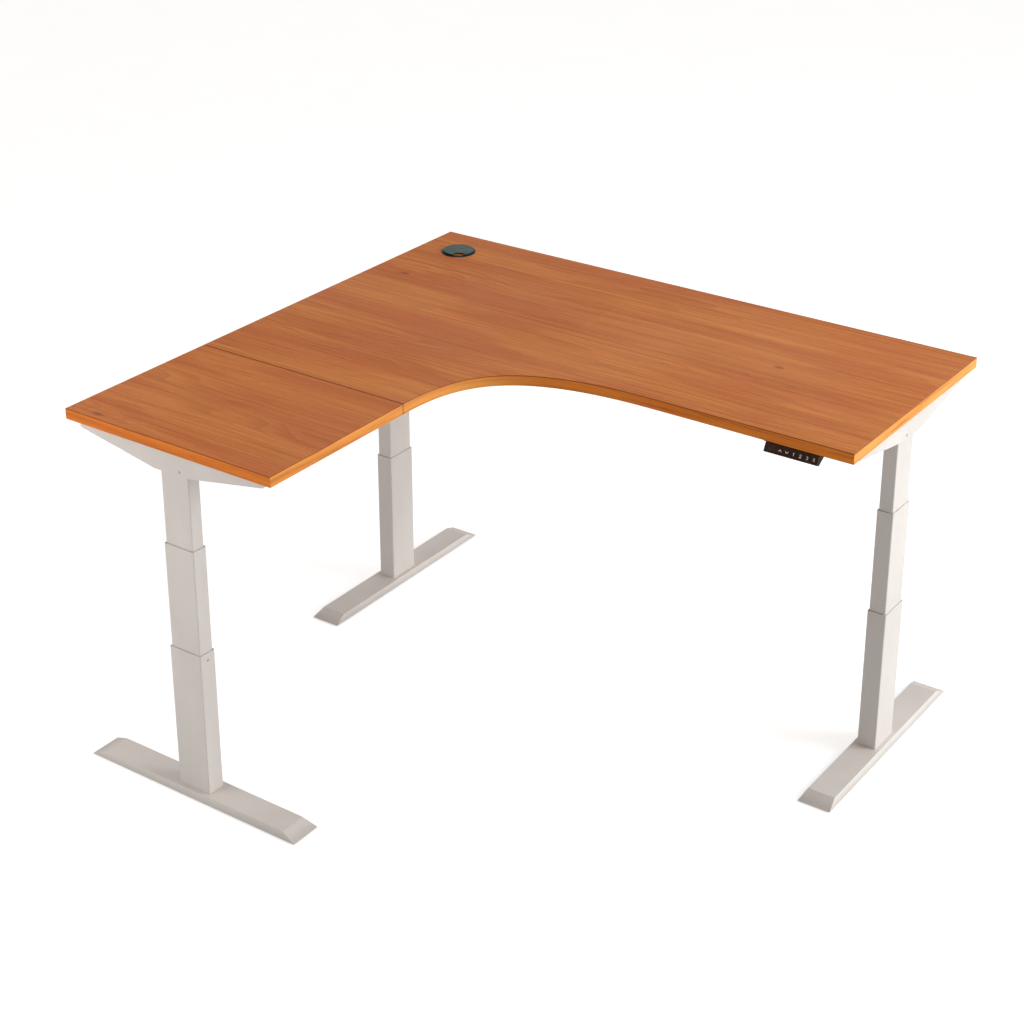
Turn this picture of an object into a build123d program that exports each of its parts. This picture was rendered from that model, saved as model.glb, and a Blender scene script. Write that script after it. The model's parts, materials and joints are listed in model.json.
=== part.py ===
from build123d import *
import os

# Height adjustable corner desk: an L shaped two-piece top on three telescopic steel legs.
# The frame's origin is on the floor, under the middle of the desk's outline.
# +X runs along the long back edge, +Y points to the back and +Z points up.

os.makedirs("parts", exist_ok=True)

# ---------------------------------------------------------------- driving dimensions, mm
# Top
MAIN_LENGTH = 1524.0
MAIN_DEPTH = 634.0
TOTAL_DEPTH = 1418.0
RETURN_WIDTH = 594.0
SEAM_FROM_BACK = 975.0
SEAM_GAP = 0.8
TOP_THICKNESS = 25.4
TABLE_HEIGHT = 905.0
EDGE_CHAMFER = 0.8
CURVE_RETURN_HANDLE = 168.0
CURVE_MAIN_HANDLE = 395.0
CURVE_END_FROM_LEFT = 1023.0

# Feet and levelling glides
FOOT_LENGTH = 624.0
FOOT_WIDTH = 82.0
FOOT_TOP_LENGTH = 550.0
FOOT_TOP_WIDTH = 68.0
FOOT_HEIGHT = 16.0
FOOT_SHEET = 2.5
FOOT_CORNER = 1.2
FLOOR_GAP = 3.0
GLIDE_SPACING = 520.0
GLIDE_RADIUS = 16.0
GLIDE_HEIGHT = 6.0
STUD_RADIUS = 4.0
STUD_LENGTH = 9.5
FOOT_NUT_RADIUS = 8.0
FOOT_NUT_HEIGHT = 8.0

# Three nested rectangular tubes for each leg: (width, thickness, corner radius, wall)
OUTER_TUBE = (92.0, 47.0, 3.0, 2.4)
MID_TUBE = (86.0, 41.0, 3.0, 2.4)
INNER_TUBE = (80.0, 35.0, 3.0, 1.8)
OUTER_TOP = 381.0
MID_TOP = 640.5
MID_LENGTH = 445.0
INNER_BOTTOM = 430.0
BASE_PLATE = 6.0

# Two-stage lifting screw inside each leg
SCREW_RADIUS = 6.0
SCREW_BOTTOM = 430.0
HOLLOW_SCREW_RADIUS = 10.0
HOLLOW_SCREW_BORE = 7.0
HOLLOW_SCREW_TOP = 400.0
CARRIER_RADIUS = 14.0
CARRIER_BORE = 12.0
CARRIER_NUT_BOTTOM = 600.0
CARRIER_NUT_TOP = 630.0
CARRIER_FLANGE = 8.0
RUNNING_CLEARANCE = 0.08

# Brackets, gear housings and motors under the top
BRACKET_LENGTH = 530.0
BRACKET_WIDTH = 60.0
BRACKET_DEPTH = 55.0
BRACKET_END_DEPTH = 15.0
BRACKET_FLAT = 90.0
BRACKET_SHEET = 3.0
GEARBOX = (90.0, 50.0, 48.0)
TUBE_FLANGE = 6.0
SIDE_SCREW_OFFSET = 26.0
SIDE_SCREW_HEIGHT = 6.0
MOTOR_RADIUS = 20.5
MOTOR_LENGTH = 92.0

# Frame rails
RAIL_WIDTH = 25.0
RAIL_HEIGHT = 30.0
RAIL_WALL = 2.0
RAIL_OFFSET = 75.0
END_PLATE = (66.0, 30.0, 3.0)
END_PLATE_BOLT_OFFSET = 24.0

# Cable grommet
GROMMET_FROM_LEFT = 112.0
GROMMET_FROM_BACK = 115.0
GROMMET_HOLE_RADIUS = 40.0
GROMMET_FLANGE_RADIUS = 45.0
GROMMET_BORE_RADIUS = 36.0
GROMMET_CAP_RADIUS = 41.0
CABLE_SLOT_WIDTH = 24.0
CABLE_SLOT_DEPTH = 15.0
CABLE_MOUTH_WIDTH = 46.0
CABLE_MOUTH_DEPTH = 7.0
CABLE_MOUTH_ANGLE = 51.8

# Handset under the front edge of the main panel
HANDSET_FROM_LEFT = 1379.0
HANDSET_WIDTH = 128.0
HANDSET_FACE_DROP = 18.5
HANDSET_FACE_REACH = 9.5
HANDSET_PLATE = 2.0
BUTTON_PITCH = 16.2
BUTTON_RADIUS = 6.0
BUTTON_GAP = 0.3
LAST_BUTTON_FROM_CENTRE = 55.2
BUTTON_NAMES = ["up", "down", "preset_1", "preset_2", "preset_3", "save"]

# Control box under the main panel
CONTROL_FROM_LEFT = 800.0
CONTROL_FROM_BACK = 115.0
CONTROL_LENGTH = 260.0
CONTROL_DEPTH = 110.0
CONTROL_HEIGHT = 34.0
CONTROL_WALL = 2.0

# Fasteners: shank radius, shank length, head radius, head height
WOOD_SCREW = (2.0, 18.0, 4.2, 2.4)
FRAME_BOLT = (3.0, 10.0, 5.2, 3.4)
FOOT_BOLT = (3.0, FOOT_SHEET + BASE_PLATE, 5.2, 3.4)
FLANGE_BOLT = (3.0, 18.0, 5.2, 3.4)
SIDE_SCREW = (2.0, 12.0, 3.0, 1.6)
HOLE_PLAY = 0.12
BRACKET_SCREWS_ALONG = (-215, -120, 120, 215)
BRACKET_SCREWS_ACROSS = (-14, 14)
FLANGE_BOLTS_ALONG = (-24, 24)
FOOT_BOLTS_ALONG = (-33, 33)
FOOT_BOLTS_ACROSS = (-13, 13)

# ---------------------------------------------------------------- derived places
LEFT_FOOT_OVERHANG = (FOOT_LENGTH - RETURN_WIDTH) / 2
LEFT = -(MAIN_LENGTH - LEFT_FOOT_OVERHANG) / 2
RIGHT = LEFT + MAIN_LENGTH
BACK = TOTAL_DEPTH / 2
FRONT = -TOTAL_DEPTH / 2
MAIN_FRONT = BACK - MAIN_DEPTH
UNDERSIDE = TABLE_HEIGHT - TOP_THICKNESS
SEAM = BACK - SEAM_FROM_BACK
FOOT_TOP = FLOOR_GAP + FOOT_HEIGHT
LEG_INSET = FOOT_WIDTH / 2
GEARBOX_TOP = UNDERSIDE - BRACKET_SHEET
GEARBOX_BOTTOM = GEARBOX_TOP - GEARBOX[2]
MID_BOTTOM = MID_TOP - MID_LENGTH
RAIL_BOTTOM = UNDERSIDE - RAIL_HEIGHT
BASE = (Align.CENTER, Align.CENTER, Align.MIN)

# Each leg has its own plane on the floor: x along its foot, y towards the middle of the desk.
LEGS = {
    "left": Plane(origin=(LEFT + RETURN_WIDTH / 2, FRONT + LEG_INSET, 0), x_dir=(1, 0, 0)),
    "corner": Plane(origin=(LEFT + LEG_INSET, BACK - MAIN_DEPTH / 2, 0), x_dir=(0, -1, 0)),
    "right": Plane(origin=(RIGHT - LEG_INSET, BACK - MAIN_DEPTH / 2, 0), x_dir=(0, 1, 0)),
}

GLIDE_ENDS = {"left": ("left", "right"), "corner": ("back", "front"), "right": ("front", "back")}


def save(part, name):
    """Label a finished piece and write it as its own STEP file."""
    part.label = name
    export_step(part, f"parts/{name}.step")


def at(leg, along, across, height, up=True):
    """Plane at a place in a leg's own directions, its normal up or down."""
    spot = leg.from_local_coords(Vector(along, across, height))
    return Plane(origin=spot, x_dir=leg.x_dir, z_dir=(0, 0, 1 if up else -1))


def side_plane(leg, across):
    """Upright plane along a leg's foot, normal towards the outside of the desk."""
    return Plane(origin=leg.from_local_coords(Vector(0, across, 0)), x_dir=leg.x_dir, z_dir=-leg.y_dir)


def add_screws(planes, size):
    """Screws in the current part: the shank runs along each plane's normal, the head behind it."""
    shank_radius, shank_length, head_radius, head_height = size
    with Locations(*planes):
        Cylinder(shank_radius, shank_length, align=BASE)
    with Locations(*[plane.offset(-head_height) for plane in planes]):
        Cylinder(head_radius, head_height, align=BASE)


def cut_screw_holes(planes, size, start=0.0, length=None):
    """Clearance holes for the same screws in the current part."""
    depth = size[1] + 1 if length is None else length
    with Locations(*[plane.offset(start) for plane in planes]):
        Cylinder(size[0] + HOLE_PLAY, depth, align=BASE, mode=Mode.SUBTRACT)


# ---------------------------------------------------------------- fastener places
def bracket_screw_planes(leg):
    """Planes on the underside of a bracket's web, normals up into the top."""
    height = UNDERSIDE - BRACKET_SHEET
    return [at(leg, along, across, height)
            for along in BRACKET_SCREWS_ALONG for across in BRACKET_SCREWS_ACROSS]


def flange_bolt_planes(leg):
    return [at(leg, along, 0, GEARBOX_BOTTOM - TUBE_FLANGE) for along in FLANGE_BOLTS_ALONG]


def side_screw_plane(leg):
    """Plane on a bracket's outer wall for the screw into the gear housing."""
    along = SIDE_SCREW_OFFSET if leg.x_dir.X > 0.5 else -SIDE_SCREW_OFFSET
    spot = leg.from_local_coords(Vector(along, -BRACKET_WIDTH / 2, GEARBOX_BOTTOM + SIDE_SCREW_HEIGHT))
    return Plane(origin=spot, x_dir=leg.x_dir, z_dir=leg.y_dir)


def rail_bolt_planes(leg):
    """Planes on the inside of a bracket's inner wall, normals towards the middle of the desk."""
    spots = [rail + bolt for rail in (-RAIL_OFFSET, RAIL_OFFSET)
             for bolt in (-END_PLATE_BOLT_OFFSET, END_PLATE_BOLT_OFFSET)]
    height = UNDERSIDE - RAIL_HEIGHT / 2
    across = BRACKET_WIDTH / 2 - BRACKET_SHEET
    return [Plane(origin=leg.from_local_coords(Vector(along, across, height)), x_dir=leg.x_dir, z_dir=leg.y_dir)
            for along in spots]


def foot_bolt_planes(leg):
    height = FOOT_TOP - FOOT_SHEET
    return [at(leg, along, across, height) for along in FOOT_BOLTS_ALONG for across in FOOT_BOLTS_ACROSS]


SEAM_PLATE = (60.0, 140.0, 3.0)
SEAM_PLATE_CENTRES = [(LEFT + 120, SEAM), (LEFT + 470, SEAM)]
SEAM_SCREW_PLANES = [
    Plane(origin=(x + dx, y + dy, UNDERSIDE - SEAM_PLATE[2]))
    for x, y in SEAM_PLATE_CENTRES
    for dx in (-18, 18)
    for dy in (-52, -20, 20, 52)
]

CONTROL_X = LEFT + CONTROL_FROM_LEFT
CONTROL_Y = BACK - CONTROL_FROM_BACK
CONTROL_PLATE = 2.5
CONTROL_EAR = 18.0
CONTROL_SCREW_PLANES = [
    Plane(origin=(CONTROL_X + dx, CONTROL_Y + dy, UNDERSIDE - CONTROL_PLATE))
    for dx in (-(CONTROL_LENGTH + CONTROL_EAR) / 2, (CONTROL_LENGTH + CONTROL_EAR) / 2)
    for dy in (-35, 35)
]

HANDSET_X = LEFT + HANDSET_FROM_LEFT
HANDSET_FLANGE = 2.6
HANDSET_BACK = MAIN_FRONT + 62.0
HANDSET_SCREW_PLANES = [
    Plane(origin=(HANDSET_X + dx, HANDSET_BACK - 9, UNDERSIDE - HANDSET_FLANGE)) for dx in (-50, 50)
]

BRACKET_SCREW_PLANES = [plane for leg in LEGS.values() for plane in bracket_screw_planes(leg)]
WOOD_SCREW_PLANES = BRACKET_SCREW_PLANES + SEAM_SCREW_PLANES + CONTROL_SCREW_PLANES + HANDSET_SCREW_PLANES


# ---------------------------------------------------------------- top
with BuildPart() as main_top:
    with BuildSketch(Plane.XY.offset(UNDERSIDE)):
        with BuildLine():
            inner_x = LEFT + RETURN_WIDTH
            curve_end = LEFT + CURVE_END_FROM_LEFT
            seam_y = SEAM + SEAM_GAP / 2
            Polyline((inner_x, seam_y), (LEFT, seam_y), (LEFT, BACK), (RIGHT, BACK), (RIGHT, MAIN_FRONT),
                     (curve_end, MAIN_FRONT))
            Bezier((curve_end, MAIN_FRONT), (curve_end - CURVE_MAIN_HANDLE, MAIN_FRONT),
                   (inner_x, seam_y + CURVE_RETURN_HANDLE), (inner_x, seam_y))
        make_face()
    extrude(amount=TOP_THICKNESS)
    with Locations((LEFT + GROMMET_FROM_LEFT, BACK - GROMMET_FROM_BACK, UNDERSIDE)):
        Cylinder(GROMMET_HOLE_RADIUS, TOP_THICKNESS, align=BASE, mode=Mode.SUBTRACT)
    chamfer(main_top.faces().sort_by(Axis.Z)[-1].outer_wire().edges(), EDGE_CHAMFER)
    cut_screw_holes([plane for plane in WOOD_SCREW_PLANES if plane.origin.Y > SEAM], WOOD_SCREW)
save(main_top.part, "main_top")

with BuildPart() as return_top:
    with BuildSketch(Plane.XY.offset(UNDERSIDE)):
        with Locations((LEFT, FRONT)):
            Rectangle(RETURN_WIDTH, SEAM - SEAM_GAP / 2 - FRONT, align=(Align.MIN, Align.MIN))
    extrude(amount=TOP_THICKNESS)
    chamfer(return_top.faces().sort_by(Axis.Z)[-1].outer_wire().edges(), EDGE_CHAMFER)
    cut_screw_holes([plane for plane in WOOD_SCREW_PLANES if plane.origin.Y < SEAM], WOOD_SCREW)
save(return_top.part, "return_top")

with BuildPart() as seam_plates:
    with Locations(*[(x, y, UNDERSIDE - SEAM_PLATE[2]) for x, y in SEAM_PLATE_CENTRES]):
        Box(*SEAM_PLATE, align=BASE)
    cut_screw_holes(SEAM_SCREW_PLANES, WOOD_SCREW)
save(seam_plates.part, "seam_plates")

with BuildPart() as wood_screws:
    add_screws(WOOD_SCREW_PLANES, WOOD_SCREW)
save(wood_screws.part, "wood_screws")


# ---------------------------------------------------------------- cable grommet
# The cap's cable slot faces the inner corner of the desk: the local -y direction of this plane.
GROMMET_PLANE = Plane(origin=(LEFT + GROMMET_FROM_LEFT, BACK - GROMMET_FROM_BACK, TABLE_HEIGHT),
                      x_dir=(0.8, 0.6, 0))
LINER_DEPTH = 11.0
FLANGE_HEIGHT = 2.0
CAP_GAP = 0.3
CAP_THICKNESS = 3.4
CAP_SKIRT_DEPTH = 8.0
CAP_SKIRT_RADIUS = 35.5
CAP_SKIRT_WALL = 2.0

with BuildPart() as grommet_liner:
    with BuildSketch(GROMMET_PLANE):
        Circle(GROMMET_FLANGE_RADIUS)
    extrude(amount=FLANGE_HEIGHT)
    chamfer(grommet_liner.edges().group_by(Axis.Z)[-1], 0.8)
    with BuildSketch(GROMMET_PLANE.offset(-LINER_DEPTH)):
        Circle(GROMMET_HOLE_RADIUS - 0.2)
    extrude(amount=LINER_DEPTH)
    with BuildSketch(GROMMET_PLANE.offset(-LINER_DEPTH)):
        Circle(GROMMET_BORE_RADIUS)
    extrude(amount=LINER_DEPTH + FLANGE_HEIGHT, mode=Mode.SUBTRACT)
save(grommet_liner.part, "grommet_liner")

with BuildPart() as grommet_cap:
    cap_base = FLANGE_HEIGHT + CAP_GAP
    with BuildSketch(GROMMET_PLANE.offset(cap_base)):
        Circle(GROMMET_CAP_RADIUS)
    extrude(amount=CAP_THICKNESS)
    fillet(grommet_cap.edges().group_by(Axis.Z)[-1], 1.5)
    with BuildSketch(GROMMET_PLANE.offset(cap_base - CAP_SKIRT_DEPTH)):
        Circle(CAP_SKIRT_RADIUS)
        Circle(CAP_SKIRT_RADIUS - CAP_SKIRT_WALL, mode=Mode.SUBTRACT)
    extrude(amount=CAP_SKIRT_DEPTH)
    with BuildSketch(GROMMET_PLANE.offset(cap_base - CAP_SKIRT_DEPTH)):
        with Locations((0, -GROMMET_CAP_RADIUS)):
            RectangleRounded(CABLE_SLOT_WIDTH, 2 * CABLE_SLOT_DEPTH, 3)
            Trapezoid(CABLE_MOUTH_WIDTH, 2 * CABLE_MOUTH_DEPTH, CABLE_MOUTH_ANGLE)
    extrude(amount=CAP_SKIRT_DEPTH + CAP_THICKNESS, mode=Mode.SUBTRACT)
save(grommet_cap.part, "grommet_cap")


# ---------------------------------------------------------------- feet
def make_foot(leg):
    """Shallow pressed channel with sloped sides, open below, with the glides' nuts and bolt holes."""
    with BuildPart() as foot:
        for inset, drop, mode in ((0, 0, Mode.ADD), (FOOT_SHEET, FOOT_SHEET, Mode.SUBTRACT)):
            with BuildSketch(leg.offset(FLOOR_GAP)):
                RectangleRounded(FOOT_LENGTH - 4 * inset, FOOT_WIDTH - 2 * inset, FOOT_CORNER)
            with BuildSketch(leg.offset(FOOT_TOP - drop)):
                RectangleRounded(FOOT_TOP_LENGTH - 2 * inset, FOOT_TOP_WIDTH - 2 * inset, FOOT_CORNER)
            loft(mode=mode)
        with BuildSketch(leg.offset(FOOT_TOP - FOOT_SHEET - FOOT_NUT_HEIGHT)):
            with GridLocations(GLIDE_SPACING, 0, 2, 1):
                Circle(FOOT_NUT_RADIUS)
                Circle(STUD_RADIUS + HOLE_PLAY, mode=Mode.SUBTRACT)
        extrude(amount=FOOT_NUT_HEIGHT)
        cut_screw_holes(foot_bolt_planes(leg), FRAME_BOLT)
    return foot.part


def make_foot_bolts(leg):
    with BuildPart() as bolts:
        add_screws(foot_bolt_planes(leg), FOOT_BOLT)
    return bolts.part


def make_glide(leg, along):
    """Levelling glide: a round plastic pad on a threaded stud."""
    with BuildPart() as glide:
        with BuildSketch(at(leg, along, 0, 0)):
            Circle(GLIDE_RADIUS)
        extrude(amount=GLIDE_HEIGHT)
        fillet(glide.edges().filter_by(GeomType.CIRCLE), 1.0)
        with BuildSketch(at(leg, along, 0, GLIDE_HEIGHT)):
            Circle(STUD_RADIUS)
        extrude(amount=STUD_LENGTH)
    return glide.part


# ---------------------------------------------------------------- columns
def make_tube(leg, size, bottom, top):
    """Plain rectangular tube with rounded corners."""
    width, thickness, radius, wall = size
    with BuildPart() as tube:
        with BuildSketch(leg.offset(bottom)):
            RectangleRounded(width, thickness, radius)
            RectangleRounded(width - 2 * wall, thickness - 2 * wall, radius - wall, mode=Mode.SUBTRACT)
        extrude(amount=top - bottom)
    return tube.part


def make_outer_tube(leg):
    """Outer tube with the thick plate welded into its foot end."""
    width, thickness, radius, wall = OUTER_TUBE
    with BuildPart() as tube:
        add(make_tube(leg, OUTER_TUBE, FOOT_TOP, OUTER_TOP))
        with BuildSketch(leg.offset(FOOT_TOP)):
            RectangleRounded(width - 2 * wall, thickness - 2 * wall, radius - wall)
        extrude(amount=BASE_PLATE)
        cut_screw_holes(foot_bolt_planes(leg), FRAME_BOLT)
    return tube.part


def make_hollow_screw(leg):
    """Fixed hollow lifting screw that stands on the foot's plate."""
    with BuildPart() as screw:
        with BuildSketch(leg.offset(FOOT_TOP + BASE_PLATE)):
            Circle(HOLLOW_SCREW_RADIUS)
            Circle(HOLLOW_SCREW_BORE, mode=Mode.SUBTRACT)
        extrude(amount=HOLLOW_SCREW_TOP - FOOT_TOP - BASE_PLATE)
    return screw.part


def make_nut_carrier(leg):
    """Carrier of the middle stage: bottom plate with the lower nut, and a sleeve up to the upper nut."""
    width, thickness, radius, wall = MID_TUBE
    with BuildPart() as carrier:
        with BuildSketch(leg.offset(MID_BOTTOM)):
            RectangleRounded(width - 2 * wall - 0.2, thickness - 2 * wall - 0.2, radius - wall)
        extrude(amount=CARRIER_FLANGE)
        with BuildSketch(leg.offset(MID_BOTTOM)):
            Circle(CARRIER_RADIUS)
        extrude(amount=CARRIER_NUT_TOP - MID_BOTTOM)
        with BuildSketch(leg.offset(MID_BOTTOM)):
            Circle(HOLLOW_SCREW_RADIUS + RUNNING_CLEARANCE)
        extrude(amount=CARRIER_NUT_BOTTOM - MID_BOTTOM, mode=Mode.SUBTRACT)
        with BuildSketch(leg.offset(MID_BOTTOM + 20)):
            Circle(CARRIER_BORE)
        extrude(amount=CARRIER_NUT_BOTTOM - MID_BOTTOM - 20, mode=Mode.SUBTRACT)
        with BuildSketch(leg.offset(CARRIER_NUT_BOTTOM)):
            Circle(SCREW_RADIUS + RUNNING_CLEARANCE)
        extrude(amount=CARRIER_NUT_TOP - CARRIER_NUT_BOTTOM, mode=Mode.SUBTRACT)
    return carrier.part


def make_drive_screw(leg):
    """Turning lifting screw that hangs from the gear housing."""
    with BuildPart() as screw:
        with BuildSketch(leg.offset(SCREW_BOTTOM)):
            Circle(SCREW_RADIUS)
        extrude(amount=GEARBOX_BOTTOM + 20 - SCREW_BOTTOM)
        chamfer(screw.edges().group_by(Axis.Z)[0], 1.0)
        with BuildSketch(leg.offset(GEARBOX_BOTTOM - 6)):
            Circle(9)
        extrude(amount=5.5)
    return screw.part


# ---------------------------------------------------------------- brackets and drives
def bracket_profile(leg, across, inset):
    """Side view of a bracket: level in the middle, tapering to shallow ends."""
    half = BRACKET_LENGTH / 2 - inset
    top = UNDERSIDE - inset
    flat = BRACKET_FLAT / 2
    with BuildSketch(side_plane(leg, across)) as profile:
        with BuildLine():
            Polyline((-half, top), (half, top), (half, UNDERSIDE - BRACKET_END_DEPTH),
                     (flat, UNDERSIDE - BRACKET_DEPTH), (-flat, UNDERSIDE - BRACKET_DEPTH),
                     (-half, UNDERSIDE - BRACKET_END_DEPTH), (-half, top))
        make_face()
        corners = profile.vertices().filter_by_position(Axis.Z, UNDERSIDE - BRACKET_DEPTH - 1,
                                                        UNDERSIDE - BRACKET_DEPTH + 1)
        fillet(corners, 150)
    return profile.sketch


def make_bracket(leg):
    """Downward-open pressed channel between a leg and the top."""
    with BuildPart() as bracket:
        extrude(bracket_profile(leg, BRACKET_WIDTH / 2, 0), amount=BRACKET_WIDTH)
        inner = BRACKET_WIDTH / 2 - BRACKET_SHEET
        length = BRACKET_LENGTH - 2 * BRACKET_SHEET
        with BuildSketch(at(leg, 0, 0, UNDERSIDE - BRACKET_SHEET, up=False)):
            Rectangle(length, 2 * inner)
        extrude(amount=BRACKET_DEPTH, mode=Mode.SUBTRACT)
        with BuildSketch(side_plane(leg, BRACKET_WIDTH / 2)):
            with Locations((0, motor_height())):
                Circle(MOTOR_RADIUS + 1)
        extrude(amount=BRACKET_SHEET + 1, mode=Mode.SUBTRACT)
        cut_screw_holes(bracket_screw_planes(leg), WOOD_SCREW)
        cut_screw_holes(rail_bolt_planes(leg), FRAME_BOLT, start=-1)
        cut_screw_holes([side_screw_plane(leg)], SIDE_SCREW, start=-1)
    return bracket.part


def motor_height():
    return GEARBOX_BOTTOM + GEARBOX[2] / 2


def make_gearbox(leg):
    """Worm gear housing with a round motor seat and a bearing bore for the screw."""
    length, width, height = GEARBOX
    with BuildPart() as gearbox:
        with BuildSketch(leg.offset(GEARBOX_BOTTOM)):
            RectangleRounded(length, width, 6)
        extrude(amount=height)
        chamfer(gearbox.edges().group_by(Axis.Z)[-1], 1.0)
        with BuildSketch(leg.offset(GEARBOX_BOTTOM)):
            Circle(SCREW_RADIUS + RUNNING_CLEARANCE)
        extrude(amount=22, mode=Mode.SUBTRACT)
        cut_screw_holes(flange_bolt_planes(leg), FLANGE_BOLT)
        cut_screw_holes([side_screw_plane(leg)], SIDE_SCREW)
    return gearbox.part


def make_motor(leg):
    """Round motor that sticks out of the bracket towards the middle of the desk."""
    with BuildPart() as motor:
        with BuildSketch(side_plane(leg, GEARBOX[1] / 2)):
            with Locations((0, motor_height())):
                Circle(MOTOR_RADIUS)
        extrude(amount=-MOTOR_LENGTH)
        chamfer(motor.edges().filter_by(GeomType.CIRCLE), 1.2)
        with BuildSketch(side_plane(leg, GEARBOX[1] / 2 + MOTOR_LENGTH)):
            with Locations((0, motor_height())):
                Circle(9)
        extrude(amount=-4)
    return motor.part


def make_inner_tube(leg):
    """Inner tube with a flange plate welded into its top end for the gear housing's bolts."""
    width, thickness, radius, wall = INNER_TUBE
    with BuildPart() as tube:
        add(make_tube(leg, INNER_TUBE, INNER_BOTTOM, GEARBOX_BOTTOM))
        with BuildSketch(leg.offset(GEARBOX_BOTTOM - TUBE_FLANGE)):
            RectangleRounded(width - 2 * wall, thickness - 2 * wall, radius - wall)
            Circle(10, mode=Mode.SUBTRACT)
        extrude(amount=TUBE_FLANGE)
        cut_screw_holes(flange_bolt_planes(leg), FLANGE_BOLT)
    return tube.part


for name, leg in LEGS.items():
    save(make_foot(leg), f"{name}_foot")
    save(make_foot_bolts(leg), f"{name}_foot_bolts")
    save(make_outer_tube(leg), f"{name}_outer_tube")
    save(make_hollow_screw(leg), f"{name}_hollow_screw")
    save(make_tube(leg, MID_TUBE, MID_BOTTOM, MID_TOP), f"{name}_mid_tube")
    save(make_nut_carrier(leg), f"{name}_nut_carrier")
    save(make_inner_tube(leg), f"{name}_inner_tube")
    save(make_drive_screw(leg), f"{name}_drive_screw")
    save(make_bracket(leg), f"{name}_bracket")
    save(make_gearbox(leg), f"{name}_gearbox")
    save(make_motor(leg), f"{name}_motor")
    for end, side in zip(GLIDE_ENDS[name], (-1, 1)):
        save(make_glide(leg, side * GLIDE_SPACING / 2), f"{name}_foot_glide_{end}")


# ---------------------------------------------------------------- frame rails
MAIN_RAIL_YS = [LEGS["corner"].origin.Y + offset for offset in (-RAIL_OFFSET, RAIL_OFFSET)]
RETURN_RAIL_XS = [LEGS["left"].origin.X + offset for offset in (-RAIL_OFFSET, RAIL_OFFSET)]
BRACKET_FACE = LEG_INSET + BRACKET_WIDTH / 2
TEE_Y = MAIN_RAIL_YS[0] - RAIL_WIDTH / 2
TEE_BOLT_PLANES = [
    Plane(origin=(x + bolt, TEE_Y - END_PLATE[2], UNDERSIDE - RAIL_HEIGHT / 2), x_dir=(1, 0, 0), z_dir=(0, 1, 0))
    for x in RETURN_RAIL_XS
    for bolt in (-END_PLATE_BOLT_OFFSET, END_PLATE_BOLT_OFFSET)
]


def add_rail(start, length):
    """Rectangular tube along the start plane's normal, with a holed plate welded on each end."""
    plate_width, plate_height, plate = END_PLATE
    with BuildPart(mode=Mode.PRIVATE) as rail:
        with BuildSketch(start):
            Rectangle(RAIL_WIDTH, RAIL_HEIGHT)
            Rectangle(RAIL_WIDTH - 2 * RAIL_WALL, RAIL_HEIGHT - 2 * RAIL_WALL, mode=Mode.SUBTRACT)
        extrude(amount=length)
        with BuildSketch(start, start.offset(length - plate)):
            Rectangle(plate_width, plate_height)
            Circle(7, mode=Mode.SUBTRACT)
        extrude(amount=plate)
    add(rail.part)


with BuildPart() as main_rails:
    for y in MAIN_RAIL_YS:
        rail_start = Plane(origin=(LEFT + BRACKET_FACE, y, UNDERSIDE - RAIL_HEIGHT / 2),
                           x_dir=(0, 1, 0), z_dir=(1, 0, 0))
        add_rail(rail_start, MAIN_LENGTH - 2 * BRACKET_FACE)
    cut_screw_holes(rail_bolt_planes(LEGS["corner"]) + rail_bolt_planes(LEGS["right"]), FRAME_BOLT)
    cut_screw_holes(TEE_BOLT_PLANES, FRAME_BOLT)
save(main_rails.part, "main_rails")

with BuildPart() as return_rails:
    for x in RETURN_RAIL_XS:
        rail_start = Plane(origin=(x, FRONT + BRACKET_FACE, UNDERSIDE - RAIL_HEIGHT / 2),
                           x_dir=(-1, 0, 0), z_dir=(0, 1, 0))
        add_rail(rail_start, TEE_Y - FRONT - BRACKET_FACE)
    cut_screw_holes(rail_bolt_planes(LEGS["left"]) + TEE_BOLT_PLANES, FRAME_BOLT)
save(return_rails.part, "return_rails")

with BuildPart() as frame_bolts:
    add_screws([plane for leg in LEGS.values() for plane in rail_bolt_planes(leg)], FRAME_BOLT)
    add_screws(TEE_BOLT_PLANES, FRAME_BOLT)
    add_screws([plane for leg in LEGS.values() for plane in flange_bolt_planes(leg)], FLANGE_BOLT)
    add_screws([side_screw_plane(leg) for leg in LEGS.values()], SIDE_SCREW)
save(frame_bolts.part, "frame_bolts")


# ---------------------------------------------------------------- control box
CONTROL_TOP = UNDERSIDE - CONTROL_PLATE
CONTROL_BOTTOM = UNDERSIDE - CONTROL_HEIGHT
CONTROL_PLANE = Plane(origin=(CONTROL_X, CONTROL_Y, CONTROL_BOTTOM))
SOCKET_HEIGHT = (CONTROL_TOP + CONTROL_BOTTOM) / 2 - 3
SOCKET_DEPTH = 14.0
POCKET_DEPTH = 10.0
PORT_BLOCK = (76.0, 14.0)
PORT_POCKET = (13.0, 9.0)
PORT_PITCH = 18.0
INLET_BLOCK = (28.0, 16.0)
INLET_POCKET = (20.0, 10.0)
PORT_PLANE = Plane(origin=(CONTROL_X + CONTROL_LENGTH / 2, CONTROL_Y, SOCKET_HEIGHT),
                   x_dir=(0, 1, 0), z_dir=(1, 0, 0))
INLET_PLANE = Plane(origin=(CONTROL_X - CONTROL_LENGTH / 2, CONTROL_Y, SOCKET_HEIGHT),
                    x_dir=(0, -1, 0), z_dir=(-1, 0, 0))
STANDOFF_DROP = 9.0
BOARD_THICKNESS = 1.6

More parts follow.
